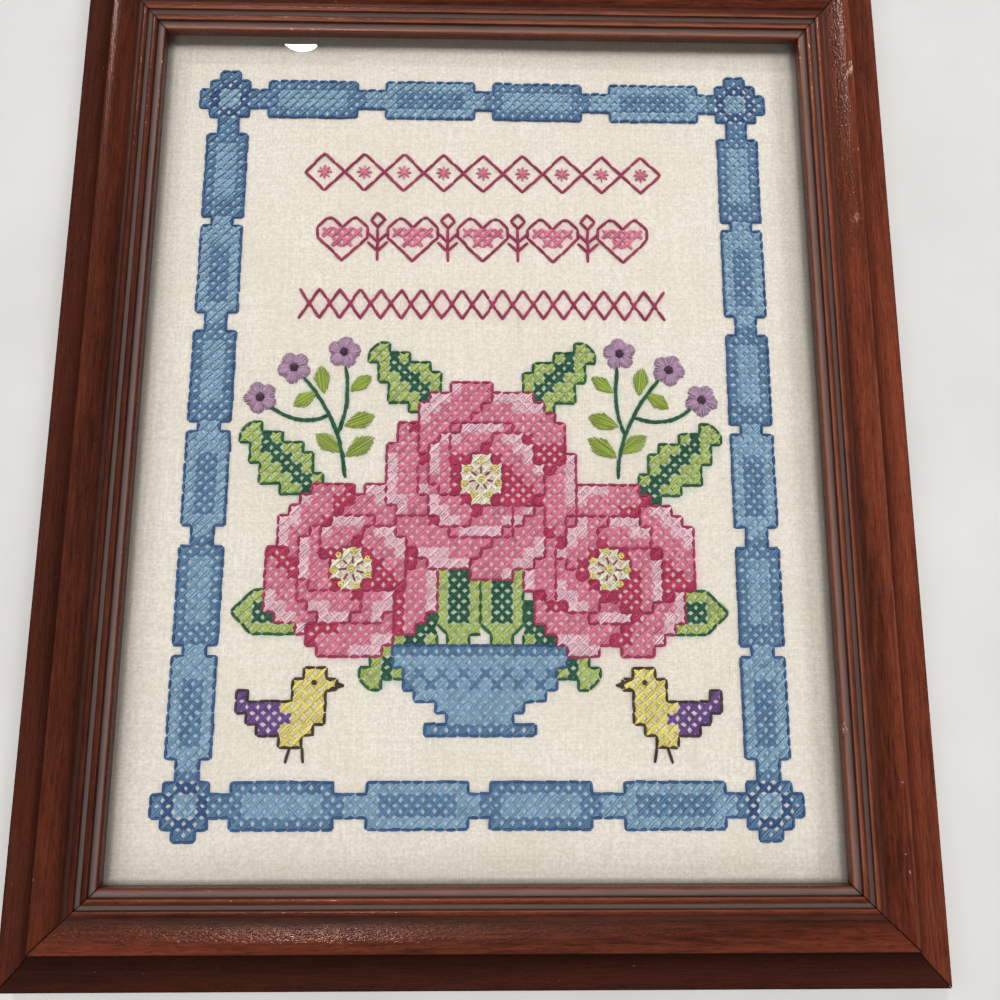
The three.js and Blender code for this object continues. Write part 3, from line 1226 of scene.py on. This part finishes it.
def thread_piece(name, stitches, height):
    """All stitches of one floss as closed tubes that dive into the cloth at both ends."""
    rows = thread_strands(stitches)
    count = len(rows)
    stations = len(THREAD_STATIONS)
    start = to_cloth(rows[:, 0:2]) + rng.normal(0, HOLE_JITTER, (count, 2))
    end = to_cloth(rows[:, 2:4]) + rng.normal(0, HOLE_JITTER, (count, 2))
    lift, half, shift = rows[:, 4:].T
    span = end - start
    length = np.linalg.norm(span, axis=1)
    side = left_of(span.T).T / length[:, None]
    t = THREAD_STATIONS[None, :, None]
    arch = np.sin(math.pi * THREAD_STATIONS)
    spread = (END_DISTANCE + (1 - END_DISTANCE) * arch)[None, :, None]
    centre = start[:, None] + span[:, None] * t + side[:, None] * shift[:, None, None] * spread
    rise = np.where(THREAD_RISE > 0, THREAD_RISE * lift[:, None], -SUNK_END)
    rise = rise + rng.normal(0, LIFT_JITTER, (count, 1))
    level = height(centre[..., 0], centre[..., 1]) + rise
    around = -math.pi / 2 + 2 * math.pi * np.arange(THREAD_SIDES) / THREAD_SIDES
    swell = END_WIDTH + (1 - END_WIDTH) * arch
    wide = (half[:, None] * swell)[:, :, None] * np.cos(around)
    high = np.minimum(half, HALF_HEIGHT)[:, None, None] * np.sin(around)
    points = np.empty((count, stations, THREAD_SIDES, 3))
    points[..., 0:2] = centre[:, :, None] + side[:, None, None] * wide[..., None]
    points[..., 2] = level[:, :, None] + high
    index = np.arange(points.size // 3).reshape(count, stations, THREAD_SIDES)
    ahead = np.roll(index, -1, axis=2)
    sides = quads(index[:, :-1], ahead[:, :-1], ahead[:, 1:], index[:, 1:])
    faces = sides.tolist() + index[:, 0, ::-1].tolist() + index[:, -1].tolist()
    piece = add_piece("stitches_" + name, points.reshape(-1, 3), faces, floss_material(name))
    strand = np.empty(points.shape)
    strand[..., 0] = (length[:, None] * THREAD_STATIONS)[:, :, None]
    strand[..., 1] = np.arange(THREAD_SIDES) / THREAD_SIDES
    strand[..., 2] = rng.uniform(0, 1, (count, 1, 1))
    add_values(piece, "strand", strand.reshape(-1, 3))
    return piece


# Stage

# Camera: lens and sensor as on the photograph's 1000 pixels, place in millimetres
LENS_PIXELS = 745.1
PICTURE_PIXELS = 1000
SENSOR_WIDTH = 36.0
CAMERA_PLACE = (2.0, -52.6, 213.3)
CAMERA_AIM = (0.0157, 0.1521, -0.9882)
CAMERA_UP = (-0.005, 0.9884, 0.1521)
NEAREST_IN_VIEW = 0.01

# Lamps: place in metres, aimed at the middle, with the disc's width, its power in watts, and whether
# it shows in reflections
LAMPS = table(
    "name place size power mirrored",
    ("overhead", (0.1, 0.2, 1.7), 0.9, 14.0, False),
    ("left", (-1.6, 0.3, 1.7), 1.2, 11.0, False),
    ("right", (1.6, 0.3, 1.7), 1.0, 20.0, False),
    ("front", (0.0, -2.0, 1.6), 1.4, 14.0, False),
    ("back", (0.0, 2.5, 1.7), 1.4, 6.0, True),
    ("spot", (-0.573, 1.7, 1.811), 0.143, 11.0, True),
)

# Light all round: its colour, its strength above and below the horizon, and how soft that line is
WORLD_COLOUR = (0.95, 0.97, 1.0, 1.0)
WORLD_ABOVE = 0.1
WORLD_BELOW = 0.01
HORIZON = 0.05
FLOOR_SIDE = 6000.0

# How often light may bounce
BOUNCES = {"max_bounces": 4, "diffuse_bounces": 2, "glossy_bounces": 2}


def make_camera():
    data = bpy.data.cameras.new("camera")
    data.sensor_width = SENSOR_WIDTH
    data.lens = LENS_PIXELS / PICTURE_PIXELS * SENSOR_WIDTH
    data.clip_start = NEAREST_IN_VIEW
    camera = add_object("camera", data)
    aim = Vector(CAMERA_AIM).normalized()
    right = aim.cross(Vector(CAMERA_UP)).normalized()
    up = right.cross(aim)
    turn = Matrix((right, up, -aim)).transposed().to_4x4()
    camera.matrix_world = Matrix.Translation(Vector(CAMERA_PLACE) * MM) @ turn
    scene.camera = camera


def make_lamps():
    for row in LAMPS:
        data = bpy.data.lights.new(row["name"], "AREA")
        data.shape = "DISK"
        data.size = row["size"]
        data.energy = row["power"]
        lamp = add_object(row["name"], data)
        lamp.location = row["place"]
        lamp.visible_glossy = row["mirrored"]
        lamp.rotation_euler = (-Vector(row["place"])).to_track_quat("-Z", "Y").to_euler()


def make_world():
    """Soft light all round, dim below the horizon."""
    s = Shading("studio", world=True)
    height = s.add("SeparateXYZ", {0: s.add("TexCoord").outputs["Generated"]}).outputs["Z"]
    strength = s.ramp(height, -HORIZON, HORIZON, WORLD_BELOW, WORLD_ABOVE)
    light = s.add("Background", {"Color": WORLD_COLOUR, "Strength": strength})
    scene.world = s.surface(light.outputs[0])


def make_floor():
    half = FLOOR_SIDE / 2 * MM
    mesh = bpy.data.meshes.new("floor")
    corners = [(-half, -half, 0), (half, -half, 0), (half, half, 0), (-half, half, 0)]
    mesh.from_pydata(corners, [], [(0, 1, 2, 3)])
    mesh.materials.append(floor_material())
    floor = add_object("floor", mesh)
    floor.visible_glossy = False


def dress(node, material):
    """Gives a solid that keeps its own shape its finished material."""
    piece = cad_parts[node]
    piece.data.materials.clear()
    piece.data.materials.append(material)


def build():
    make_camera()
    make_lamps()
    make_world()
    make_floor()
    section = moulding_section()
    wood = wood_material()
    for rail in RAILS:
        rail_piece(rail, section, wood)
    dress("glass", glass_material())
    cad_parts["glass"].visible_shadow = False
    dress("back_board", board_material())
    work = design()
    padding = Coverage(work, THREADS, PADDING_SPREAD)

    def height(x, y):
        return CLOTH_FACE + ripple(x, y) + PADDING_HEIGHT * padding.at(x, y)

    cloth = cloth_piece(work, height)
    threads = [thread_piece(name, work.stitches[name], height) for name in THREADS]
    scene.view_settings.view_transform = "Standard"
    for name, count in BOUNCES.items():
        setattr(scene.cycles, name, count)


build()
